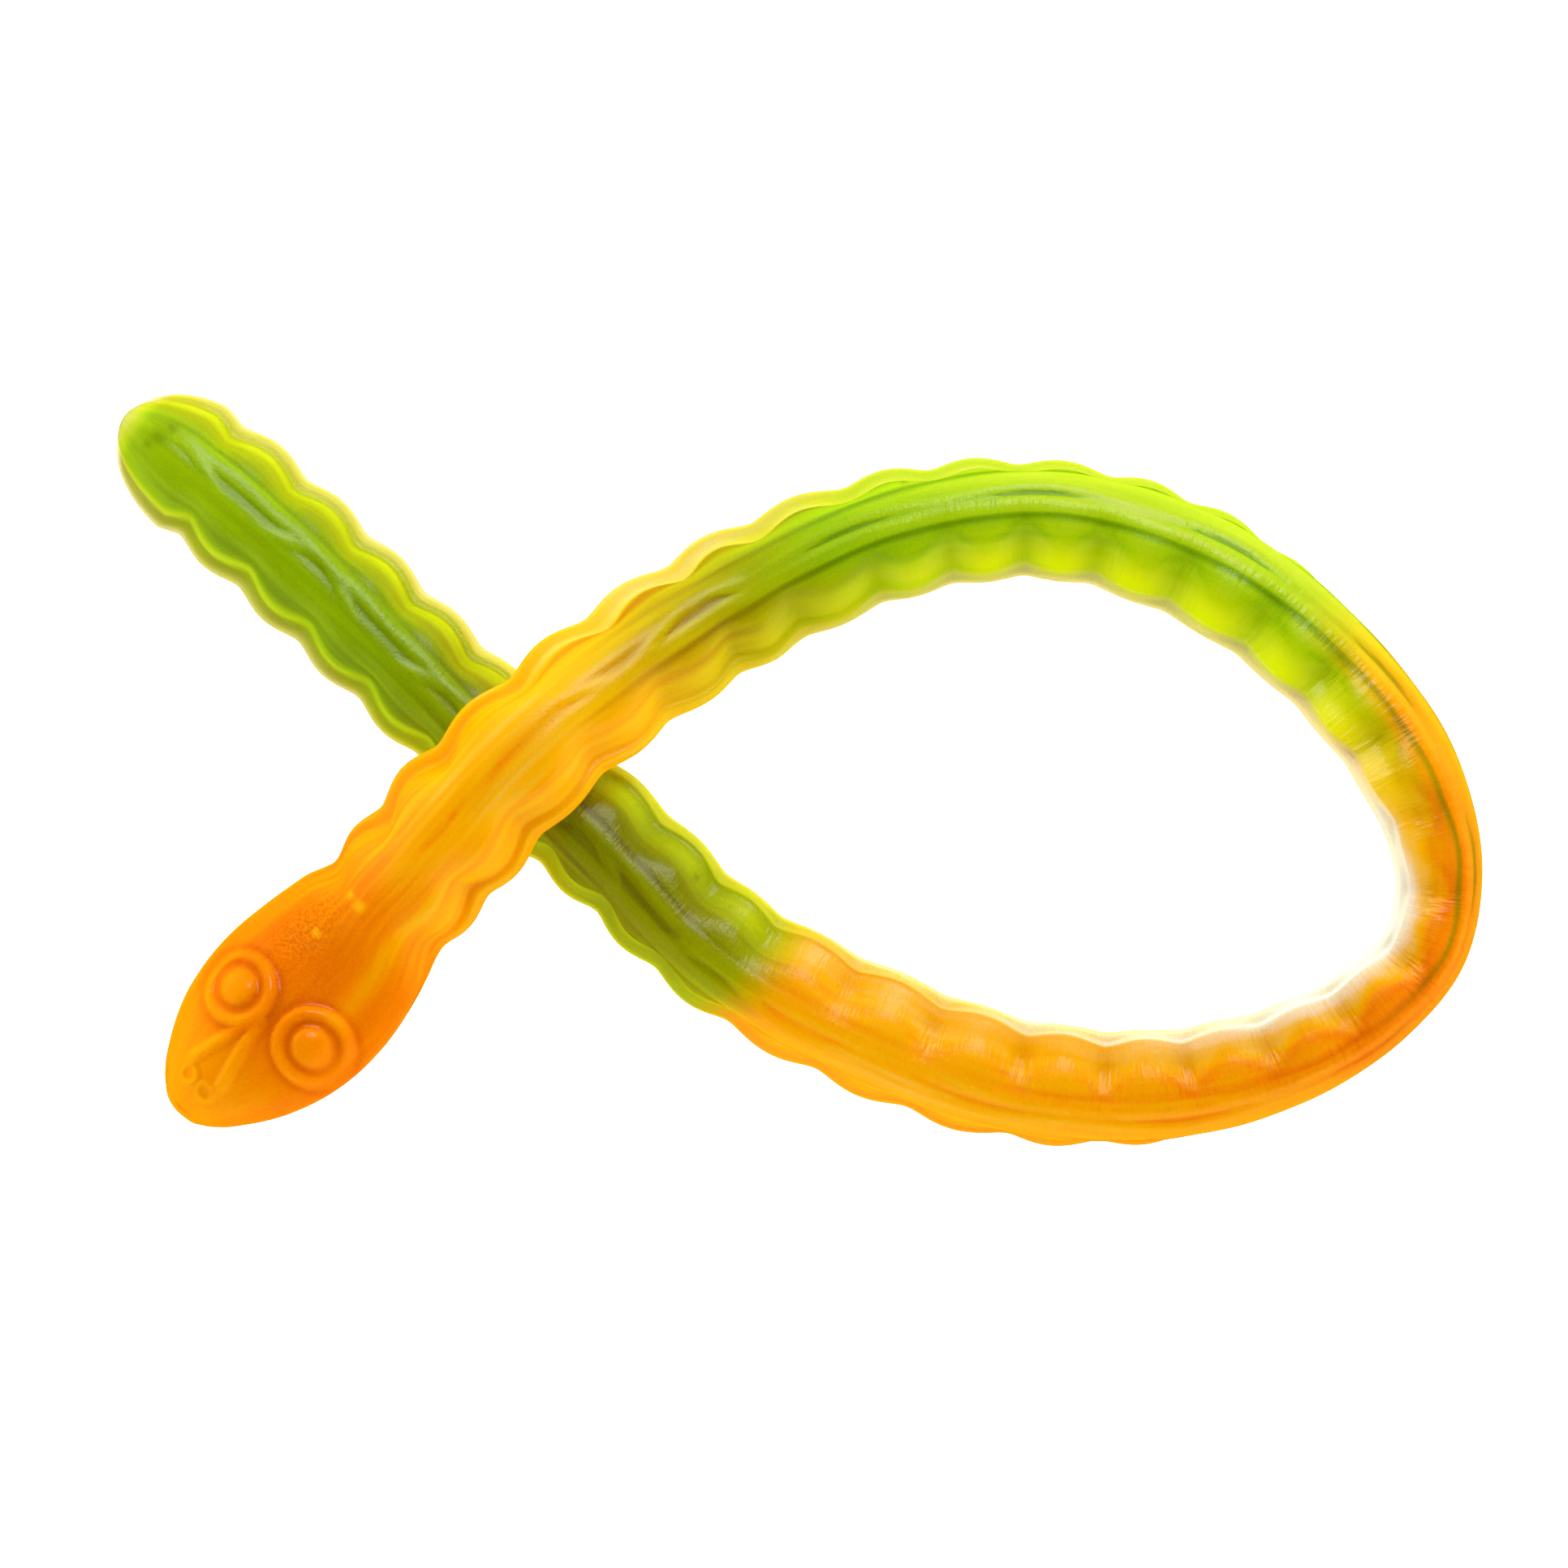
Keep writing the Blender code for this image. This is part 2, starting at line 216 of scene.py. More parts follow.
def ease(value, low, high):
    """0 below low, 1 above high and a smooth step between them. With low above high it falls instead."""
    t = np.clip((value - low) / (high - low), 0.0, 1.0)
    return t * t * (3 - 2 * t)


def hump(value, middle, reach):
    """A soft bell, 1 at the middle."""
    return np.exp(-(((value - middle) / reach) ** 2))


def read(table, at):
    """A value at some places, from a table of (place, value)."""
    return np.interp(at, [row[0] for row in table], [row[1] for row in table])


def measured_route():
    """Fine points of the route with their distance from the nose."""
    stations = np.array(ROUTE, float)
    chords = np.linalg.norm(np.diff(stations[:, :2], axis=0), axis=1)
    marks = np.concatenate([[0.0], np.cumsum(chords)])
    fine = np.linspace(0.0, marks[-1], ROUTE_FINENESS)
    values = smooth_curve(marks, stations, fine)
    lengths = np.linalg.norm(np.diff(values[:, :2], axis=0), axis=1)
    return np.concatenate([[0.0], np.cumsum(lengths)]), values


def lift_at(distance):
    """Height of the underside: it is raised only where the neck goes over the tail."""
    share = np.clip(np.abs(distance - CROSSING_AT) / LIFT_REACH, 0.0, 1.0)
    return LIFT * np.cos(share * math.pi / 2) ** 2


def dip_at(distance):
    """0 on the crest of a lobe and 1 in the dip between two lobes."""
    count = np.interp(distance, DIP_MARKS, DIP_COUNTS)
    wave = np.sqrt(np.sin(math.pi * count) ** 2 + DIP_SOFTNESS**2)
    crest = math.sqrt(1 + DIP_SOFTNESS**2)
    dip = (crest - wave) / (crest - DIP_SOFTNESS)
    head_fade = ease(distance, HEAD_LENGTH - DIP_FADE_HEAD, HEAD_LENGTH + DIP_FADE_HEAD)
    tail_fade = np.clip((DIP_MARKS[-1] + DIP_FADE_TAIL - distance) / DIP_FADE_TAIL, 0.0, 1.0)
    return dip * head_fade * tail_fade


def strand_parts(across, distance):
    """Height of the strands, how near a point is to the top of one, and how near to the groove beside one."""
    weave = CROSSING_REACH * np.sin(2 * math.pi * distance / CROSSING_PERIOD)
    weave = weave * np.interp(distance, CALM_MARKS, CALM_SHARES)
    height = np.zeros(np.broadcast(across, distance).shape)
    top = np.zeros_like(height)
    groove = np.zeros_like(height)
    for (place, half, tall), sway in ((BROAD_STRAND, 0), (NARROW_STRAND, 0), (CROSSING_STRAND, 1)):
        away = (across - place - sway * weave) / half
        one = tall * np.clip(1 - away**2, 0.0, 1.0)
        height = (height**STRAND_BLEND + one**STRAND_BLEND) ** (1 / STRAND_BLEND)
        top = np.maximum(top, np.clip(1 - away**2, 0.0, 1.0))
        groove = np.maximum(groove, (1 - CROSSING_GROOVE_LOSS * sway) * hump(np.abs(away), *GROOVE_BESIDE))
    return height, top, groove * (1 - ease(top, *GROOVE_ENDS))


def ring_layout(section):
    """A plain section round its whole ring: across, height and dip pull, then the climb, then the side."""
    right = [list(point) for point in section]
    ring = [[0.0, 0.0, 0.0]] + right + [[0.0, RIDGE_LINE_HEIGHT, 0.0]]
    ring += [[-across, height, dip] for across, height, dip in reversed(right)]
    count = len(ring)
    tripled = np.array(ring * 3, float)
    marks = np.arange(3 * count, dtype=float)
    half = count // 2
    steps = [BACK_STEPS] + [WALL_STEPS] * WALL_SPANS + [DOME_STEPS] * (half - WALL_SPANS - 1)
    climb = np.concatenate([k + np.arange(n) / n for k, n in enumerate(steps)])
    places = np.concatenate([climb, [half], (count - climb[1:])[::-1]])
    values = smooth_curve(marks, tripled, places + count)
    on_back = np.minimum(places, count - places) <= 1
    values[on_back, 1] = 0.0
    values[:, 1] = np.maximum(values[:, 1], 0.0)
    return values, np.minimum(places, count - places), np.where(places < half, 1.0, -1.0)


def eye_relief(back, side):
    """Extra height of the eyes, the nostrils and the bridge of the nose on the head."""
    height = np.zeros_like(side)
    for sign, (eye_back, eye_side) in zip((-1, 1), EYES):
        away = np.hypot(back - eye_back, side - eye_side)
        reach, tall = EYE_MOUND
        height += tall * np.clip(1 - (away / reach) ** 2, 0.0, None)
        for radius, half, tall in (EYE_RING, EYE_GROOVE):
            height += tall * np.clip(1 - ((away - radius) / half) ** 2, 0.0, None)
        reach, tall = PUPIL
        height += tall * np.sqrt(np.clip(1 - (away / reach) ** 2, 0.0, None))
        away = np.hypot(back - NOSTRIL_BACK, side - sign * NOSTRIL_APART)
        radius, half, tall = NOSTRIL_RING
        height += tall * np.clip(1 - ((away - radius) / half) ** 2, 0.0, None)
        share = np.clip((BRIDGE_TO - back) / (BRIDGE_TO - BRIDGE_FROM), 0.0, 1.0)
        inside = (back < BRIDGE_TO) * np.clip((back - BRIDGE_FROM) / BRIDGE_FADE + 1.0, 0.0, 1.0)
        away = (side - sign * BRIDGE_SPREAD * share) / BRIDGE_HALF_WIDTH
        height = np.maximum(height, BRIDGE_HEIGHT * inside * np.clip(1 - away**2, 0.0, None))
    return height


# Marks in the skin: x, y and radius in millimetres, and how much deeper the colour reads.
MARKS = (
    (-71.3, 37.5, 1.1, 0.16),  # pitted patch near the tip of the tail
    (-69.8, 38.3, 0.6, 0.16),
    (-72.6, 36.6, 0.5, 0.14),
    (-11.4, -11.6, 0.45, 0.2),  # bubble behind the crossing
    (11.6, 32.4, 0.35, 0.2),
    (21.3, 29.7, 0.4, 0.12),
    (-37.9, -4.7, 0.5, 0.12),
    (-48.6, -14.8, 0.6, -0.4),  # pale flecks on the head
    (-49.6, -13.6, 0.4, -0.35),
    (-53.6, -17.8, 0.5, -0.35),
)
MARKS_ABOVE = 3.0


def marks_at(points):
    """How much deeper the colour reads in the marks of the skin."""
    deeper = np.zeros(points.shape[:2])
    for x, y, radius, amount in MARKS:
        away = np.hypot(points[:, :, 0] - ROUTE_SHIFT[0] - x, points[:, :, 1] - ROUTE_SHIFT[1] - y)
        deeper += amount * hump(away, 0.0, radius) * (points[:, :, 2] > MARKS_ABOVE)
    return deeper


def eye_hollow(back, side):
    """1 in the hollow between each pupil and its ring and in the groove outside the ring, where painted shade
    goes.
    """
    hollow = np.zeros_like(side)
    for eye_back, eye_side in EYES:
        away = np.hypot(back - eye_back, side - eye_side)
        hollow = np.maximum(hollow, hump(away, *EYE_HOLLOW))
        hollow = np.maximum(hollow, hump(away, *EYE_GROOVE[:2]))
    return hollow


def station_distances(total):
    """Where the rings stand: close together at the nose and at the tip of the tail, which are round."""
    nose = END_ZONE * (np.arange(1, NOSE_STATIONS + 1) / NOSE_STATIONS) ** 2
    head = np.linspace(END_ZONE, HEAD_LENGTH, HEAD_STATIONS + 1)[1:]
    body = np.linspace(HEAD_LENGTH, total - END_ZONE, BODY_STATIONS + 1)[1:]
    cap = total - END_ZONE * (np.arange(CAP_STATIONS, 0, -1) / (CAP_STATIONS + 1)) ** 2
    return np.concatenate([nose, head, body, cap])


def snake_surface():
    """Points of the body in space, and for each point what the finish needs to know about its place."""
    lengths, values = measured_route()
    total = float(lengths[-1])
    distance = station_distances(total)
    plain, climb, side = ring_layout(SECTION)
    head_section = [(*place, row[2]) for place, row in zip(HEAD_SECTION, SECTION)]
    share = 1 - ease(distance, *HEAD_SECTION_UNTIL)[:, None, None]
    plain = plain[None] + share * (ring_layout(head_section)[0] - plain)[None]
    here = np.stack([np.interp(distance, lengths, values[:, k]) for k in range(4)], axis=1)
    ahead = np.minimum(distance + HALF_STRIDE, total)
    behind = np.maximum(distance - HALF_STRIDE, 0.0)
    forward = np.stack(
        [np.interp(ahead, lengths, values[:, k]) - np.interp(behind, lengths, values[:, k]) for k in (0, 1)]
        + [lift_at(ahead) - lift_at(behind)],
        axis=1,
    )
    forward /= np.linalg.norm(forward, axis=1)[:, None]
    inward = np.stack([forward[:, 1], -forward[:, 0], np.zeros(len(forward))], axis=1)
    inward /= np.linalg.norm(inward, axis=1)[:, None]
    upward = np.cross(inward, forward)

    back = distance[:, None]
    width = here[:, 3:4]
    roll = np.radians(here[:, 2:3])
    left = np.minimum(total - distance, TAIL_CAP)
    cap_wide = np.maximum(1 - (1 - left / TAIL_CAP) ** TAIL_BLUNTNESS, 0.0) ** (1 / TAIL_BLUNTNESS)
    on_head = distance < HEAD_MARKS[-1]
    head_at = np.minimum(distance, HEAD_MARKS[-1])
    head_wide = smooth_curve(HEAD_MARKS, HEAD_HALF_WIDTHS, head_at) / HALF_WIDTH
    head_tall = smooth_curve(HEAD_MARKS, HEAD_HEIGHTS, head_at) / RIDGE_LINE_HEIGHT
    wide = np.where(on_head, head_wide, cap_wide)[:, None]
    tall = np.where(on_head, head_tall, cap_wide**TAIL_THINNING)[:, None]

    across = plain[:, :, 0]
    across = across + CREASE_PINCH * np.sin(roll) * (side > 0) * hump(climb, *CREASE_REACH)
    outer = (side < 0) * np.interp(plain[:, :, 1], LOBE_HEIGHTS, LOBE_PINCH)
    across = across * (1 - OUTER_PINCH * np.sin(roll) * outer)
    height = plain[:, :, 1]
    lag = np.interp(back, LAG_MARKS, LAGS) * np.clip(across / HALF_WIDTH * 2, -1.0, 1.0)
    dip = dip_at(back - lag)
    drawn = plain[:, :, 2] * dip * np.minimum(wide, 1.0)
    shares = across / HALF_WIDTH
    drop = np.maximum(height - HEART_HEIGHT, 0.0)
    reach = np.hypot(across, drop) + 1e-9
    pinched = np.where(across > 0, 1 - INNER_RIM_SQUEEZE * np.sin(roll) * (height < RIM_BELOW), 1.0)
    across = across - drawn * pinched * across / reach
    height = height - drawn * drop / reach
    on_top = np.clip((height - TOP_FROM) / TOP_GROWTH, 0.0, 1.0)
    fade = ease(back, STRANDS_START, STRANDS_FULL)
    fade = fade * np.clip((total - back - STRANDS_END) / STRAND_TAIL_FADE, 0.0, 1.0)
    strand, strand_top, groove = strand_parts(shares, back)
    height = height + strand * on_top * fade
    across = across * wide
    height = height * tall
    everywhere = np.repeat(back, across.shape[1], axis=1)
    relief = eye_relief(everywhere, across) * on_top * (back < HEAD_LENGTH)
    height = height + relief

    plain_across = plain[:, :, 0] * wide * width
    plain_height = plain[:, :, 1] * tall
    turned_plain = plain_across * np.cos(roll) - plain_height * np.sin(roll)
    plain_low = (plain_across * np.sin(roll) + plain_height * np.cos(roll)).min(axis=1)[:, None]
    turned = across * width * np.cos(roll) - height * np.sin(roll)
    raised = across * width * np.sin(roll) + height * np.cos(roll)
    turned = turned - (turned_plain.max(axis=1) + turned_plain.min(axis=1))[:, None] / 2
    raised = np.maximum(raised - plain_low - SETTLE, 0.0)
    centre = np.stack([here[:, 0] + ROUTE_SHIFT[0], here[:, 1] + ROUTE_SHIFT[1], lift_at(distance)], axis=1)
    sideways = turned[:, :, None] * inward[:, None, :]
    points = centre[:, None, :] + sideways + raised[:, :, None] * upward[:, None, :]

    steps_round = [np.diff(plain[:, :, k], axis=1, prepend=0.0) for k in (0, 1)]
    facts = {
        "back": everywhere,
        "across": shares,
        "climb": np.repeat(climb[None, :], len(distance), axis=0),
        "dip": dip,
        "strand_top": strand_top * on_top * fade,
        "groove": groove * on_top * fade,
        "around": np.cumsum(np.hypot(*steps_round), axis=1),
        "relief": relief,
        "marks": marks_at(points),
        "eye_hollow": eye_hollow(everywhere, across) * (back < HEAD_LENGTH),
    }
    return points, facts


def along(facts, table):
    """A value at every point, from a table of (distance from the nose, value)."""
    return read(table, facts["back"])


# Tables of (distance back from the nose, value).
# How deep the colour reads on each part of the section, from 0 where it is thinnest to 1 where it is darkest.
DOME_DEPTH = (
    (0, 0.55), (8, 0.62), (12, 0.70), (17, 0.80), (24, 0.82), (34, 0.70), (42, 0.57), (50, 0.46),
    (60, 0.44), (70, 0.66), (80, 0.70), (95, 0.64), (120, 0.48), (150, 0.45), (162, 0.48),
    (176, 0.60), (200, 0.70), (212, 0.60), (225, 0.50), (250, 0.42), (269, 0.44), (277, 0.74),
    (284, 0.84), (300, 0.90), (320, 0.78), (340, 0.72), (368, 0.62),
)
INNER_SKIRT = (
    (0, 0.62), (10, 0.72), (30, 0.74), (38, 0.54), (62, 0.46), (80, 0.36), (100, 0.22), (150, 0.14),
    (168, 0.08), (185, 0.0), (205, 0.0), (225, 0.10), (250, 0.20), (270, 0.28), (285, 0.40),
    (310, 0.30), (330, 0.16), (368, 0.16),
)
OUTER_SKIRT = (
    (0, 0.62), (10, 0.56), (28, 0.52), (38, 0.50), (62, 0.44), (80, 0.26), (110, 0.38), (160, 0.44),
    (180, 0.60), (210, 0.70), (240, 0.60), (268, 0.54), (285, 0.38), (310, 0.24), (330, 0.14),
    (368, 0.12),
)
INNER_LOBE = (
    (0, 0.60), (10, 0.72), (28, 0.74), (40, 0.52), (62, 0.46), (80, 0.58), (95, 0.58), (110, 0.44),
    (150, 0.42), (180, 0.40), (210, 0.40), (240, 0.34), (268, 0.36), (282, 0.64), (310, 0.64),
    (340, 0.56), (368, 0.50),
)
OUTER_LOBE = (
    (0, 0.54), (8, 0.62), (16, 0.74), (24, 0.70), (34, 0.64), (48, 0.58), (62, 0.42), (75, 0.28),
    (110, 0.42), (150, 0.44), (180, 0.60), (210, 0.68), (240, 0.54), (268, 0.50), (282, 0.70),
    (310, 0.60), (340, 0.52), (368, 0.44),
)
# Painted shade: how much deeper it reads in the crease above the inner skirt, where a lobe meets the dome,
# in the grooves beside the strands and along a long line on the dome.
CREASE_SHADE = (
    (0, 0.0), (300, 0.0), (318, 0.06), (350, 0.08), (368, 0.04),
)
MEETING_SHADE = (
    (0, 0.0), (36, 0.0), (60, 0.02), (90, 0.02), (120, 0.08), (145, 0.07), (165, 0.04), (200, 0.06),
    (260, 0.08), (285, 0.02), (368, 0.02),
)
GROOVE_SHADE = (
    (36, 0.06), (60, 0.06), (75, 0.18), (120, 0.3), (150, 0.3), (170, 0.22), (200, 0.13),
    (265, 0.13), (280, 0.08), (320, 0.10), (368, 0.10),
)
SHADE_LINE_STRENGTH = ((66, 0.0), (84, 0.2), (120, 0.34), (165, 0.34), (190, 0.2), (260, 0.14), (300, 0.1), (350, 0.0))
# How far the body leans over in the bends, and by how many points of the section the pale edge climbs higher.
LEANING = ((80, 0.0), (115, 1.0), (255, 1.0), (280, 0.0))
PRESSED_THIN = ((165, 0.0), (188, 1.7), (214, 1.7), (238, 0.5), (262, 0.0))
# The share of green from the neck on, and again from the crossing on.
NECK_GREEN = ((55, 0.0), (62, 0.25), (68, 0.45), (74, 0.6), (80, 0.7), (98, 1.0))
TAIL_GREEN = ((274, 0.82), (300, 0.86), (330, 0.97))
# The strength of the painted reflection, the light in the inner lobes, the streaks of pouring and the fine
# folds.
PAINTED_REFLECTION_STRENGTH = ((90, 0.0), (110, 0.7), (125, 1.0), (150, 0.9), (165, 0.2), (175, 0.0))
GLOW = (
    (70, 0.0), (84, 0.3), (100, 0.6), (115, 1.0), (165, 1.0), (185, 0.3), (215, 0.2), (250, 0.4), (275, 0.0),
)
STREAKS = (
    (0, 0.2), (28, 0.5), (36, 1.6), (56, 1.6), (66, 1.0), (100, 0.7), (200, 0.7), (260, 1.2), (290, 0.8),
)
FOLDS = ((90, 0.0), (130, 0.7), (180, 1.0), (225, 1.0), (268, 0.5), (330, 0.3), (368, 0.2))

# Places up the side of the section are counted in its points: 0 in the middle of the back, 1 at its edge,
# 4 in the crease, 7 at the shoulder of the lobe and 10 on the ridge line. Places across are in half widths.
# Two numbers are the ends of a fade, or the middle and the reach of a hump.
MIDDLE_BLEND = (-0.1, 0.1)
SKIRT_TO_LOBE = (1.9, 4.7)
MEETING = 6.3
MEETING_INSIDE = 1.8
MEETING_INSIDE_DROP = 0.6
MEETING_OUTSIDE = 0.5
LOBE_TO_DOME = (-1.3, 0.5)
MEETING_REACH = 0.55
MEETING_SHARE_OUTSIDE = 0.4
CREASE = (3.9, 0.3)
CREST = (4.8, 1.3)
CREST_HIGHLIGHT = 0.05
ARCH = (6.2, 0.8)
ARCH_SHADE = 0.08
STRAND_HIGHLIGHT = 0.04
SHADE_LINE_PLACE = -0.26
SHADE_LINE_REACH = 0.05
SHADE_LINE_SWAY = 0.07
SHADE_LINE_PERIOD = 75.0
TIP_FADE = (3.5, 0.6)
TIP_PALER = 0.34
HEAD_RELIEF_HIGHLIGHT = 0.08
HEAD_HOLLOW_SHADE = 0.09
HEAD_HIGHLIGHT_BAND = (0.55, 0.15)
HEAD_HIGHLIGHT_BAND_STARTS = (18.0, 23.0)
HEAD_HIGHLIGHT_BAND_ENDS = (46.0, 38.0)
HEAD_HIGHLIGHT_BAND_STRENGTH = 0.2

# Where the painted reflection lies: on the smooth top, less in the grooves beside the strands and less on the
# outer side.
SMOOTH_TOP = (6.8, 7.8)
PAINTED_REFLECTION_LOSS_IN_GROOVE = 0.9
PAINTED_REFLECTION_SIDES = (-0.6, 0.1)
PAINTED_REFLECTION_SHARE_OUTSIDE = 0.3

OFF_DOME = (8.2, 6.4)
NECK_GREEN_LAG = 6
ORANGE_ON_DOME = (149.0, 168.0)
ORANGE_ON_LOBES = (154.0, 188.0)
GREEN_STRIP = (8.3, 1.1)
KEPT_IN_STRIP = 0.8
KEPT_IN_GROOVES = 0.6
KEPT_STARTS = (140, 150)
KEPT_ENDS = (208, 186)
TAIL_GREEN_SLANT = 2
TAIL_GREEN_STARTS = (270.0, 278.0)
TAIL_LOBES_FADE = (290, 320)
TAIL_LOBES_ORANGE = 0.14

GLOW_CREST = (4.3, 1.4)
GLOW_LOSS_IN_DIP = 0.6
PEEL_BACK = (28.0, 7.0)
PEEL_ACROSS = (-0.4, 0.34)
PEEL_GAIN = 1.5
PEEL_FLOOR = 0.2
FOLDS_ACROSS = (0.0, 0.5)
FOLDS_CLIMB = (2.5, 4.5)
FOLDS_ON_CREST = 0.4
FOLDS_ON_STRANDS = 0.4
GLOSS_FADE = (30, 44)


def colour_depth_and_painted_light(facts):
    """How deep the colour reads at each point: 0 where the jelly is thinnest and 1 where it is darkest, with
    painted shade and painted highlights worked in.
    """
    back = facts["back"]
    climb = facts["climb"]
    dip = facts["dip"]
    inside = ease(facts["across"], *MIDDLE_BLEND)
    leaning = along(facts, LEANING)
    lobe = along(facts, OUTER_LOBE) * (1 - inside) + along(facts, INNER_LOBE) * inside
    skirt = along(facts, OUTER_SKIRT) * (1 - inside) + along(facts, INNER_SKIRT) * inside
    body = ease(back, HEAD_LENGTH - DIP_FADE_HEAD, HEAD_LENGTH + DIP_FADE_HEAD)
    # The wavy line where a lobe meets the dome climbs higher in the dips on the inside of the loop.
    inner_rise = leaning * (MEETING_INSIDE * dip - MEETING_INSIDE_DROP)
    meeting = MEETING + inside * inner_rise + (1 - inside) * MEETING_OUTSIDE * dip
    # Towards the tight end of the loop the lobes are pressed thin, so the pale edge reaches further up.
    thin = inside * along(facts, PRESSED_THIN)
    to_lobe = ease(climb - thin, *SKIRT_TO_LOBE)
    to_dome = ease(climb - meeting, *LOBE_TO_DOME)
    depth_with_painted_light = skirt * (1 - to_lobe) + lobe * to_lobe
    depth_with_painted_light = depth_with_painted_light * (1 - to_dome) + along(facts, DOME_DEPTH) * to_dome
    # Painted shade in the crease above the inner skirt and where a lobe meets the dome.
    depth_with_painted_light = depth_with_painted_light + along(facts, CREASE_SHADE) * hump(climb, *CREASE) * inside
    meeting_share = MEETING_SHARE_OUTSIDE + (1 - MEETING_SHARE_OUTSIDE) * inside
    depth_with_painted_light = depth_with_painted_light + along(facts, MEETING_SHADE) * hump(climb, meeting, MEETING_REACH) * meeting_share
    # A painted highlight makes the crests of the lobes paler, and painted shade makes the arches above the
    # inner ones deeper.
    depth_with_painted_light = depth_with_painted_light - body * CREST_HIGHLIGHT * (1 - dip) * hump(climb, *CREST)
    depth_with_painted_light = depth_with_painted_light + ARCH_SHADE * inside * leaning * dip * hump(climb, *ARCH)
    # Painted highlight on the tops of the strands and painted shade in the grooves beside them.
    depth_with_painted_light = depth_with_painted_light - STRAND_HIGHLIGHT * facts["strand_top"] + along(facts, GROOVE_SHADE) * facts["groove"]
    # A long line of painted shade runs along the outer half of the dome.
    shade_line_place = SHADE_LINE_PLACE + SHADE_LINE_SWAY * np.sin(2 * math.pi * back / SHADE_LINE_PERIOD)
    depth_with_painted_light = depth_with_painted_light + along(facts, SHADE_LINE_STRENGTH) * hump(facts["across"], shade_line_place, SHADE_LINE_REACH)
    depth_with_painted_light = depth_with_painted_light + facts["marks"]
    # The rounded tip of the tail has a paler rim.
    tip_from, tip_to = TIP_FADE
    depth_with_painted_light = depth_with_painted_light - TIP_PALER * ease(back, back.max() - tip_from, back.max() - tip_to)
    # On the head painted shade makes the hollows round the eyes read deeper, and a painted highlight makes
    # the rings paler.
    depth_with_painted_light = depth_with_painted_light - (1 - body) * HEAD_RELIEF_HIGHLIGHT * facts["relief"]
    depth_with_painted_light = depth_with_painted_light + (1 - body) * HEAD_HOLLOW_SHADE * facts["eye_hollow"]
    # A band of painted highlight runs from the throat along the right side of the head.
    highlight_band = hump(facts["across"], *HEAD_HIGHLIGHT_BAND) * ease(back, *HEAD_HIGHLIGHT_BAND_STARTS) * ease(back, *HEAD_HIGHLIGHT_BAND_ENDS)
    return np.clip(depth_with_painted_light - HEAD_HIGHLIGHT_BAND_STRENGTH * highlight_band, 0.0, 1.0)


def painted_reflection_film(facts):
    """A painted reflection of the lamp: a pale film on the smooth top and the strands of the green part,
    where it faces the lamp.
    """
    smooth_top = ease(facts["climb"], *SMOOTH_TOP) * (1 - PAINTED_REFLECTION_LOSS_IN_GROOVE * facts["groove"])
    sides = PAINTED_REFLECTION_SHARE_OUTSIDE + (1 - PAINTED_REFLECTION_SHARE_OUTSIDE) * ease(facts["across"], *PAINTED_REFLECTION_SIDES)
    return np.clip(along(facts, PAINTED_REFLECTION_STRENGTH) * smooth_top * sides, 0.0, 1.0)


def green_share(facts):
    """0 where the jelly is orange and 1 where it is green."""
    back = facts["back"]
    off_dome = ease(facts["climb"], *OFF_DOME)
    inner_lobe = off_dome * (facts["across"] > 0)
    neck = read(NECK_GREEN, back - NECK_GREEN_LAG * off_dome)
    bend = ease(back, *ORANGE_ON_DOME) * (1 - inner_lobe) + ease(back, *ORANGE_ON_LOBES) * inner_lobe
    # Green stays longest in a strip along the outer edge and in the grooves beside the strands.
    strip = hump(facts["climb"], *GREEN_STRIP) * (facts["across"] < 0)
    kept = np.maximum(KEPT_IN_STRIP * strip, KEPT_IN_GROOVES * facts["groove"])
    bend = bend * (1 - kept * ease(back, *KEPT_STARTS) * ease(back, *KEPT_ENDS))
    tail = along(facts, TAIL_GREEN) * ease(back + TAIL_GREEN_SLANT * facts["across"], *TAIL_GREEN_STARTS)
    tail = tail * (1 - TAIL_LOBES_ORANGE * inner_lobe * ease(back, *TAIL_LOBES_FADE))
    return np.clip(neck * (1 - bend) + tail, 0.0, 1.0)


def yellow_glow(facts):
    """Where light comes through the thin inner lobes: brightest low on the crest of each lobe."""
    crest = (1 - GLOW_LOSS_IN_DIP * facts["dip"]) * hump(facts["climb"], *GLOW_CREST)
    return np.clip(along(facts, GLOW) * crest * (facts["across"] > 0), 0.0, 1.0)


def peel_strength(facts):
    """Where the head's skin is pitted like orange peel: on its left cheek behind the eye."""
    region = hump(facts["back"], *PEEL_BACK) * hump(facts["across"], *PEEL_ACROSS)
    return np.clip(PEEL_GAIN * region - PEEL_FLOOR, 0.0, 1.0)


def fold_strength(facts):
    """Where the surface is crimped into fine folds: on the strands and on the inside of the bends."""
    inside = ease(facts["across"], *FOLDS_ACROSS) * ease(facts["climb"], *FOLDS_CLIMB)
    inside = inside * (FOLDS_ON_CREST + (1 - FOLDS_ON_CREST) * facts["dip"])
    return np.clip(along(facts, FOLDS) * (inside + FOLDS_ON_STRANDS * facts["strand_top"]), 0.0, 1.0)


def linear(hex_colour):
    """A linear colour with its alpha from an sRGB hex value."""
    channels = [int(hex_colour[k : k + 2], 16) / 255 for k in (1, 3, 5)]
    return [c / 12.92 if c <= 0.04045 else ((c + 0.055) / 1.055) ** 2.4 for c in channels] + [1.0]


def add_node(tree, kind, sockets=None, **properties):
    """Adds a node, sets its properties and fills its sockets with values or with other nodes' outputs."""
    node = tree.nodes.new(kind)
    for name, value in properties.items():
        setattr(node, name, value)
    for socket, source in (sockets or {}).items():
        if isinstance(source, bpy.types.NodeSocket):
            tree.links.new(source, node.inputs[socket])
        else:
            node.inputs[socket].default_value = source
    return node


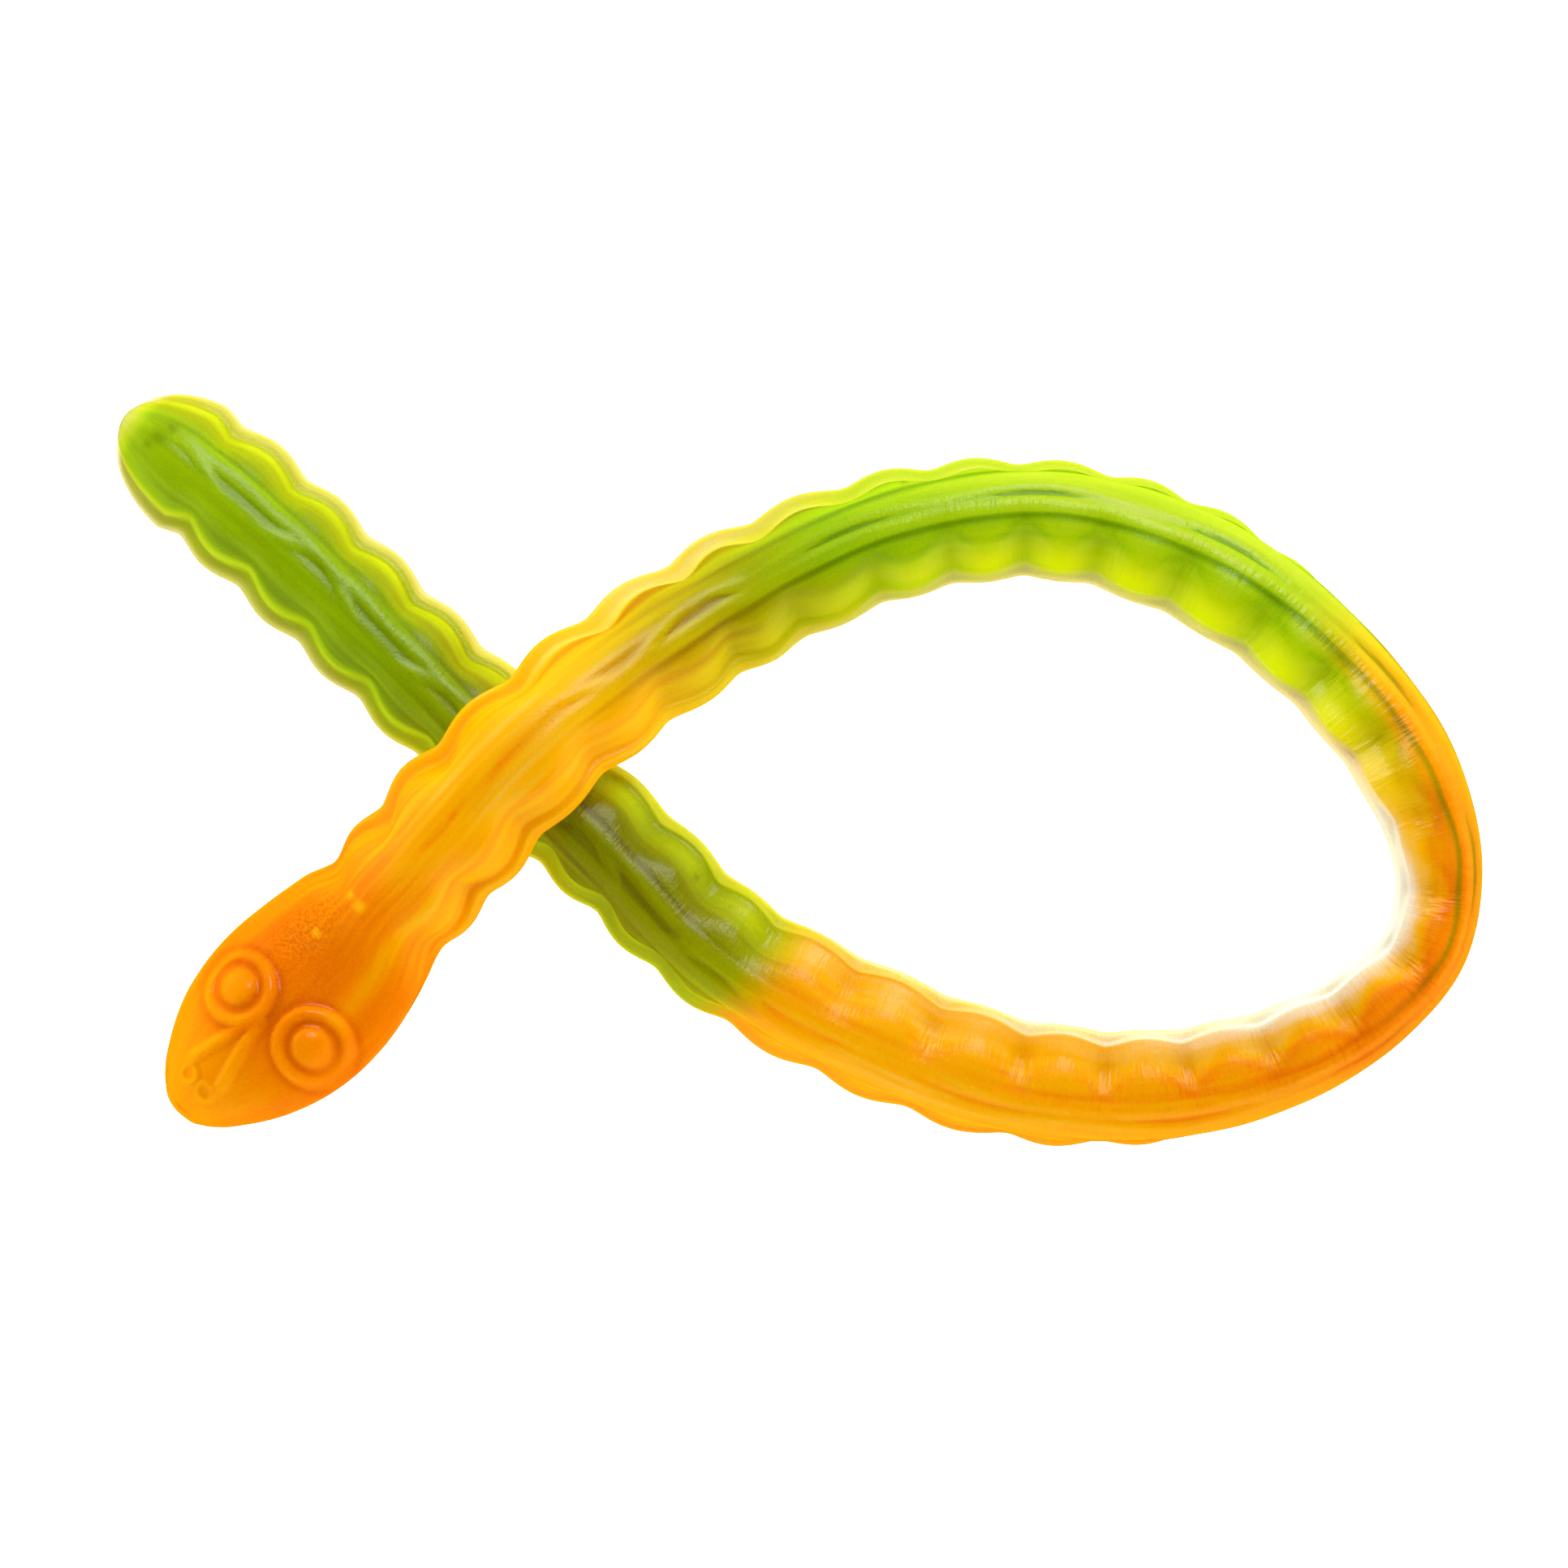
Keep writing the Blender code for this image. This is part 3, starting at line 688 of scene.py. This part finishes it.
# The jelly's colour from its pale thin edge to its deep thick middle.
ORANGE_JELLY = (
    (0.0, "#FFFBEE"),
    (0.12, "#FFE2B4"),
    (0.25, "#FFCA56"),
    (0.4, "#FFB800"),
    (0.55, "#FFA800"),
    (0.7, "#F68C00"),
    (0.85, "#E67400"),
    (1.0, "#CC5C00"),
)
GREEN_JELLY = (
    (0.0, "#FBE9C4"),
    (0.12, "#E0D496"),
    (0.24, "#C9CA62"),
    (0.36, "#C2CE2C"),
    (0.5, "#AECE04"),
    (0.62, "#94BC02"),
    (0.76, "#7EA400"),
    (0.9, "#668800"),
    (1.0, "#547004"),
)
# Its colour where light comes through the inner lobes, and the colour of the painted reflection on the dome.
ORANGE_GLOW = "#FFB400"
GREEN_GLOW = "#E4F000"
PAINTED_REFLECTION_COLOUR = "#D2EE34"
PAINTED_REFLECTION_SHARE = 0.1

# Patterns in the skin: size of the features in millimetres along the body and round it, and finer detail.
PATTERNS = {
    "streaks": (15.56, 1.11, 2.0),  # streaks of pouring
    "grain": (0.3125, 0.3125, 1.0),  # grain of the starch mould
    "folds": (0.5882, 3.333, 1.0),  # fine folds across the body
    "pits": (0.4545, 0.4545, 2.0),  # orange-peel pits on the cheek
}
# The part of a pattern's noise that is used, and how much deeper the colour reads at its two ends.
TONES = {
    "streaks": (0.3, 0.7, -0.07, 0.07),
    "grain": (0.3, 0.7, -0.025, 0.025),
    "pits": (0.35, 0.65, -0.12, 0.06),
}
FOLD_TONE = 0.12
GRAIN_RELIEF = 0.12
RELIEF_STRENGTH = 0.9
RELIEF_DEPTH = 0.00035
# The head is glossier than the body.
BODY_ROUGHNESS = 0.23
HEAD_ROUGHNESS = 0.14
# Red and green light goes 2 mm into the jelly and comes out again, blue far less, so thin edges glow.
JELLY = {
    "IOR": 1.42,
    "Specular IOR Level": 0.25,
    "Transmission Weight": 0.15,
    "Subsurface Weight": 0.6,
    "Subsurface Radius": (1.0, 0.9, 0.15),
    "Subsurface Scale": 0.002,
}


def jelly_material():
    """Gelatine jelly, cast in starch and glazed with oil: a soft gloss over a glowing body colour."""
    material = bpy.data.materials.new("gelatine jelly")
    material.use_nodes = True
    tree = material.node_tree
    shader = tree.nodes["Principled BSDF"]
    known = {}
    for name in ("back", "around", "depth_with_painted_light", "green", "glow", "painted_reflection", "folds", "peel", "streaky", "gloss"):
        known[name] = add_node(tree, "ShaderNodeAttribute", attribute_name=name).outputs["Fac"]

    place = add_node(tree, "ShaderNodeCombineXYZ", {"X": known["back"], "Y": known["around"]}).outputs[0]
    noise = {}
    for name, (length, width, detail) in PATTERNS.items():
        sockets = {0: place, 1: (1 / length, 1 / width, 1.0)}
        scaled = add_node(tree, "ShaderNodeVectorMath", sockets, operation="MULTIPLY").outputs[0]
        sockets = {"Vector": scaled, "Scale": 1.0, "Detail": detail}
        noise[name] = add_node(tree, "ShaderNodeTexNoise", sockets).outputs["Fac"]
    tone = {}
    for name, (low, high, at_low, at_high) in TONES.items():
        sockets = {"Value": noise[name], "From Min": low, "From Max": high}
        sockets.update({"To Min": at_low, "To Max": at_high})
        tone[name] = add_node(tree, "ShaderNodeMapRange", sockets).outputs["Result"]
    sockets = {0: noise["folds"], 1: known["folds"]}
    folds = add_node(tree, "ShaderNodeMath", sockets, operation="MULTIPLY").outputs[0]

    # Relief of the skin: the grain and the folds everywhere, and the pits on the cheek.
    relief = folds
    for pattern, strength in ((noise["grain"], GRAIN_RELIEF), (noise["pits"], known["peel"])):
        sockets = {0: pattern, 1: strength, 2: relief}
        relief = add_node(tree, "ShaderNodeMath", sockets, operation="MULTIPLY_ADD").outputs[0]
    sockets = {"Height": relief, "Strength": RELIEF_STRENGTH, "Distance": RELIEF_DEPTH}
    bump = add_node(tree, "ShaderNodeBump", sockets)

    # Depth of the colour with its painted shade and highlights, with what each pattern adds to it.
    depth_with_painted_light = known["depth_with_painted_light"]
    added = [(tone["streaks"], known["streaky"]), (tone["grain"], 1.0)]
    added += [(folds, FOLD_TONE), (tone["pits"], known["peel"])]
    for pattern, strength in added:
        sockets = {0: pattern, 1: strength, 2: depth_with_painted_light}
        depth_with_painted_light = add_node(tree, "ShaderNodeMath", sockets, operation="MULTIPLY_ADD").outputs[0]

    scales = []
    for stops in (ORANGE_JELLY, GREEN_JELLY):
        ramp = add_node(tree, "ShaderNodeValToRGB", {"Fac": depth_with_painted_light})
        elements = ramp.color_ramp.elements
        while len(elements) < len(stops):
            elements.new(1.0)
        for element, (at, colour) in zip(elements, stops):
            element.position = at
            element.color = linear(colour)
        scales.append(ramp.outputs["Color"])
    # Green over orange, then the light in the inner lobes, then the painted reflection.
    sockets = {0: known["green"], 6: scales[0], 7: scales[1]}
    colour = add_node(tree, "ShaderNodeMix", sockets, data_type="RGBA").outputs[2]
    sockets = {0: known["green"], 6: linear(ORANGE_GLOW), 7: linear(GREEN_GLOW)}
    lit = add_node(tree, "ShaderNodeMix", sockets, data_type="RGBA").outputs[2]
    # Share of the painted reflection in the colour.
    sockets = {0: known["painted_reflection"], 1: PAINTED_REFLECTION_SHARE}
    share = add_node(tree, "ShaderNodeMath", sockets, operation="MULTIPLY").outputs[0]
    for factor, over in ((known["glow"], lit), (share, linear(PAINTED_REFLECTION_COLOUR))):
        colour = add_node(tree, "ShaderNodeMix", {0: factor, 6: colour, 7: over}, data_type="RGBA").outputs[2]

    sockets = {"Value": known["gloss"], "To Min": BODY_ROUGHNESS, "To Max": HEAD_ROUGHNESS}
    rough = add_node(tree, "ShaderNodeMapRange", sockets)
    tree.links.new(colour, shader.inputs["Base Color"])
    tree.links.new(rough.outputs["Result"], shader.inputs["Roughness"])
    tree.links.new(bump.outputs["Normal"], shader.inputs["Normal"])
    for name, value in JELLY.items():
        shader.inputs[name].default_value = value
    return material


def snake_piece():
    """The whole visible body, with what its finish needs to know kept on its points."""
    points, facts = snake_surface()
    rings, around, _ = points.shape
    flat = points.reshape(-1, 3)
    nose = flat[:around].mean(axis=0)
    tip = flat[-around:].mean(axis=0)
    corner = np.arange(rings * around).reshape(rings, around)
    beside = np.roll(corner, -1, axis=1)
    quads = np.stack([corner[1:], beside[1:], beside[:-1], corner[:-1]], axis=-1).reshape(-1, 4)
    first = np.stack([corner[0], beside[0], np.full(around, rings * around)], axis=-1)
    last = np.stack([beside[-1], corner[-1], np.full(around, rings * around + 1)], axis=-1)
    faces = quads.tolist() + first.tolist() + last.tolist()
    mesh = bpy.data.meshes.new("snake_body")
    mesh.from_pydata((np.vstack([flat, nose, tip]) * METRES).tolist(), [], faces)
    finish = {
        "depth_with_painted_light": colour_depth_and_painted_light(facts),
        "green": green_share(facts),
        "folds": fold_strength(facts),
        "painted_reflection": painted_reflection_film(facts),
        "gloss": 1 - ease(facts["back"], *GLOSS_FADE),
        "glow": yellow_glow(facts),
        "peel": peel_strength(facts),
        "streaky": along(facts, STREAKS),
        "back": facts["back"],
        "around": facts["around"],
    }
    for name, values in finish.items():
        layer = mesh.attributes.new(name, "FLOAT", "POINT")
        spread = values.reshape(-1)
        layer.data.foreach_set("value", np.concatenate([spread, [spread[0], spread[-1]]]).astype(np.float32))
    mesh.materials.append(jelly_material())
    mesh.shade_smooth()
    piece = bpy.data.objects.new("snake_body", mesh)
    bpy.context.scene.collection.objects.link(piece)
    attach(piece, "root")
    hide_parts("snake")
    return piece


# The table is 6 m wide and lies a hair under the body. The camera hangs nearly half a metre above the middle.
TABLE_HALF = 3.0
TABLE_GAP = 0.0003
OPAL_ACRYLIC = {
    "Base Color": linear("#F2F2F0"),
    "Roughness": 0.5,
    "Emission Color": linear("#FFFFFF"),
    "Emission Strength": 1.3,
}
CAMERA_PLACE = (-0.00115, -0.00164, 0.488)
LENS = 99.4


def table():
    """The table that the snake lies on: opal acrylic lit from below, which is plain white with no shadow."""
    mesh = bpy.data.meshes.new("table")
    corners = [(x * TABLE_HALF, y * TABLE_HALF, 0) for x, y in ((-1, -1), (1, -1), (1, 1), (-1, 1))]
    mesh.from_pydata(corners, [], [(0, 1, 2, 3)])
    material = bpy.data.materials.new("opal acrylic")
    material.use_nodes = True
    shader = material.node_tree.nodes["Principled BSDF"]
    for name, value in OPAL_ACRYLIC.items():
        shader.inputs[name].default_value = value
    mesh.materials.append(material)
    piece = bpy.data.objects.new("table", mesh)
    piece.location.z = -TABLE_GAP
    bpy.context.scene.collection.objects.link(piece)
    # Its reflection would lie over the whole body as a white film.
    piece.visible_glossy = False


# Soft boxes: name, azimuth and elevation in degrees, distance and width in metres, power in watts, and
# whether the jelly shows its reflection.
SOFT_BOXES = (
    ("key", 75, 52, 0.9, 0.5, 4.7, True),
    ("overhead", 90, 82, 1.2, 0.9, 0.9, False),
)
# The room is bright up to one height of the sky and dim above the other, as shares of the way to straight up.
ROOM_BRIGHT_UNTIL = 0.3
ROOM_DIM_FROM = 0.55
ROOM_BRIGHT = 2.9
ROOM_DIM = 0.05


def soft_box(name, azimuth, elevation, distance, size, power, glints):
    """A studio soft box aimed at the middle of the snake."""
    light = bpy.data.lights.new(name, "AREA")
    light.shape = "RECTANGLE"
    light.size = size
    light.size_y = size
    light.energy = power
    lamp = bpy.data.objects.new(name, light)
    a = math.radians(azimuth)
    e = math.radians(elevation)
    aim = (math.cos(e) * math.cos(a), math.cos(e) * math.sin(a), math.sin(e))
    lamp.location = [distance * part for part in aim]
    lamp.rotation_mode = "QUATERNION"
    lamp.rotation_quaternion = lamp.location.to_track_quat("Z", "Y")
    lamp.visible_glossy = glints
    bpy.context.scene.collection.objects.link(lamp)


def studio():
    """Soft light: a white room that is bright near the table's level and dim above, and two soft boxes."""
    scene = bpy.context.scene
    scene.view_settings.view_transform = "Standard"
    world = bpy.data.worlds.new("studio")
    world.use_nodes = True
    tree = world.node_tree
    background = tree.nodes["Background"]
    place = add_node(tree, "ShaderNodeTexCoord")
    parts = add_node(tree, "ShaderNodeSeparateXYZ", {"Vector": place.outputs["Generated"]})
    sockets = {"Value": parts.outputs["Z"], "From Min": ROOM_BRIGHT_UNTIL, "From Max": ROOM_DIM_FROM}
    sockets.update({"To Min": ROOM_BRIGHT, "To Max": ROOM_DIM})
    fall = add_node(tree, "ShaderNodeMapRange", sockets, interpolation_type="SMOOTHSTEP")
    tree.links.new(fall.outputs["Result"], background.inputs["Strength"])
    background.inputs["Color"].default_value = (1, 1, 1, 1)
    world.cycles_visibility.glossy = False
    scene.world = world
    for settings in SOFT_BOXES:
        soft_box(*settings)


def camera():
    """Straight down from about half a metre."""
    data = bpy.data.cameras.new("camera")
    data.sensor_width = 36.0
    data.lens = LENS
    data.clip_start = 0.01
    data.clip_end = 10.0
    eye = bpy.data.objects.new("camera", data)
    eye.location = CAMERA_PLACE
    bpy.context.scene.collection.objects.link(eye)
    bpy.context.scene.camera = eye


snake_piece()
table()
studio()
camera()
